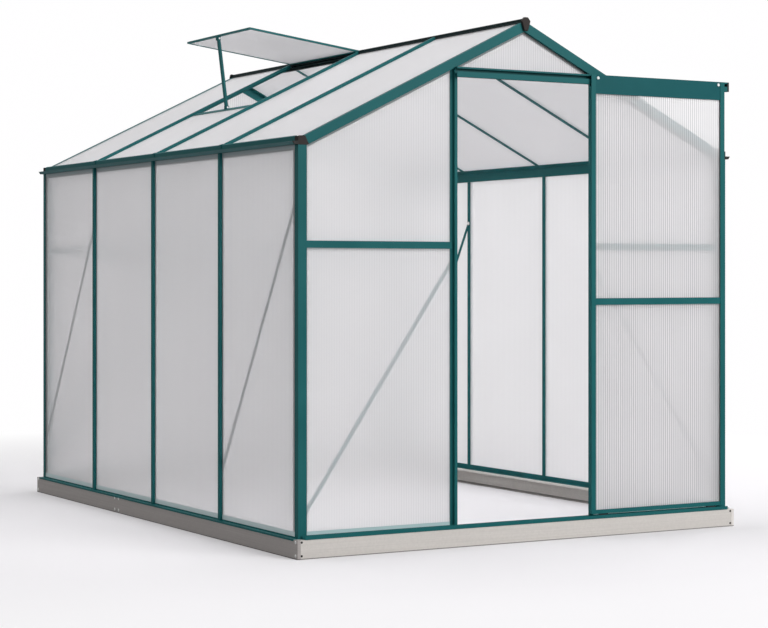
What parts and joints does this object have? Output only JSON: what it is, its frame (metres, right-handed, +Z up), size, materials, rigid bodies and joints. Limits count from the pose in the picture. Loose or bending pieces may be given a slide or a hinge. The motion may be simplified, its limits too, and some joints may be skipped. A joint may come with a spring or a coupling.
{
  "type": "greenhouse",
  "caption": "Small hobby greenhouse with a green aluminium frame, translucent twin-wall sheets, a steel base, a sliding door parked open and a propped roof vent",
  "frame": {"origin": "on the ground at the middle of the base outline", "axes": "+X to the right seen from the door gable, +Y from the door gable to the rear gable, +Z up"},
  "size_m": [1.909, 2.528, 1.9751],
  "materials": {
    "green_frame": "satin blue-green powder coat on aluminium sections",
    "steel_base": "dull galvanised steel sheet",
    "dark_caps": "dark brown-black moulded plastic",
    "twin_wall_sheet": "translucent twin-wall polycarbonate with fine upright ribs",
    "nylon": "dark nylon"
  },
  "bodies": {
    "greenhouse": {"sill_left": "green_frame", "sill_right": "green_frame", "sill_front_with_track": "green_frame", "sill_rear": "green_frame", "corner_posts": "green_frame", "left_wall_bars": "green_frame", "right_wall_bars": "green_frame", "eave_left": "green_frame", "eave_right": "green_frame", "ridge": "green_frame", "gable_rafters": "green_frame", "left_roof_bars": "green_frame", "right_roof_bars": "green_frame", "door_posts": "green_frame", "rear_posts": "green_frame", "gable_mid_rails": "green_frame", "door_header": "green_frame", "door_track": "green_frame", "braces": "green_frame", "vent_sill": "green_frame", "vent_frame": "green_frame", "vent_stay": "green_frame", "base_left": "steel_base", "base_right": "steel_base", "base_front": "steel_base", "base_rear": "steel_base", "base_joiners": "steel_base", "eave_corner_caps": "dark_caps", "ridge_end_caps": "dark_caps", "door_track_end_cap": "dark_caps", "left_wall_sheets": "twin_wall_sheet", "right_wall_sheets": "twin_wall_sheet", "left_roof_sheets": "twin_wall_sheet", "right_roof_sheets": "twin_wall_sheet", "front_gable_sheets": "twin_wall_sheet", "rear_gable_sheets": "twin_wall_sheet", "vent_sheet": "twin_wall_sheet"},
    "door": {"door_stiles": "green_frame", "door_fascia": "green_frame", "door_mid_rail": "green_frame", "door_bottom_rail": "green_frame", "door_lower_sheet": "twin_wall_sheet", "door_upper_sheet": "twin_wall_sheet", "door_rollers": "nylon", "door_guides": "nylon"}
  },
  "joints": [
    {"name": "door_slide", "type": "slide", "parent": "greenhouse", "child": "door", "axis": [-1, 0, 0], "range_m": [0, 0.592]}
  ]
}
